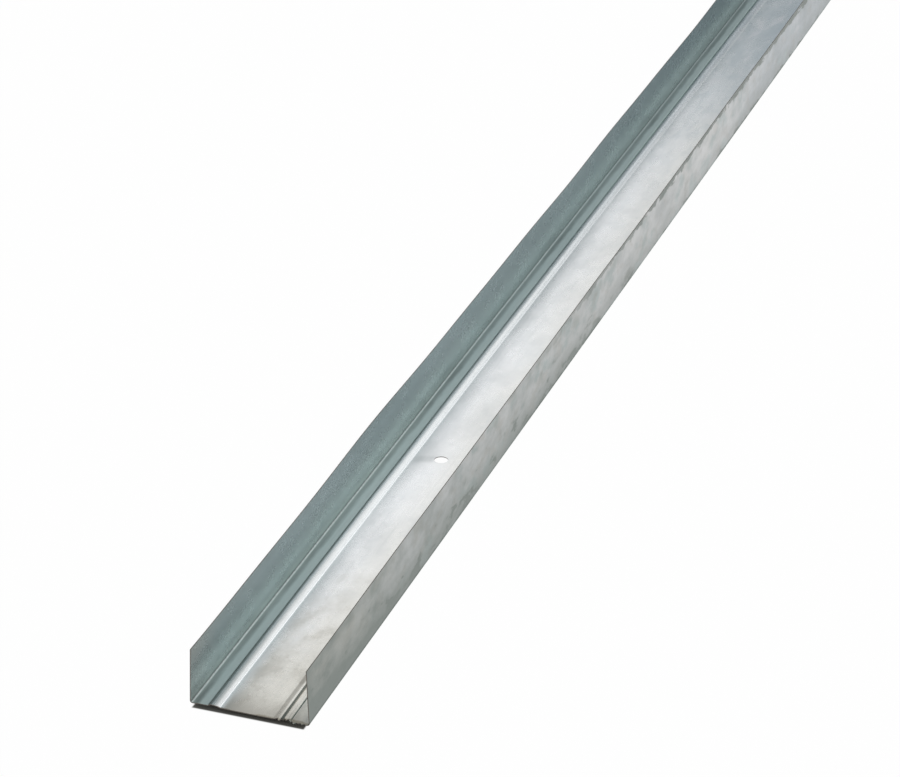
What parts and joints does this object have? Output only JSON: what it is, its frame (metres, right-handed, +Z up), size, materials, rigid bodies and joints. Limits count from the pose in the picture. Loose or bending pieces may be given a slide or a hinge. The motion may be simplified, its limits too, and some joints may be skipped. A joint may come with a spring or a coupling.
{
  "type": "drywall track",
  "caption": "Length of roll-formed galvanised steel drywall track: a shallow U channel with toed-in legs, ribs along its web and fixing holes down the middle.",
  "frame": {"origin": "on the floor, under the middle of the track", "axes": "+X across the web, +Y along the track, +Z up out of the open side"},
  "size_m": [0.065, 3.048, 0.0318],
  "materials": {
    "galvanised_steel": "hot-dip zinc coat, dull with faint streaks along the rolling direction"
  },
  "bodies": {
    "root": {"drywall_track": "galvanised_steel"}
  },
  "joints": []
}
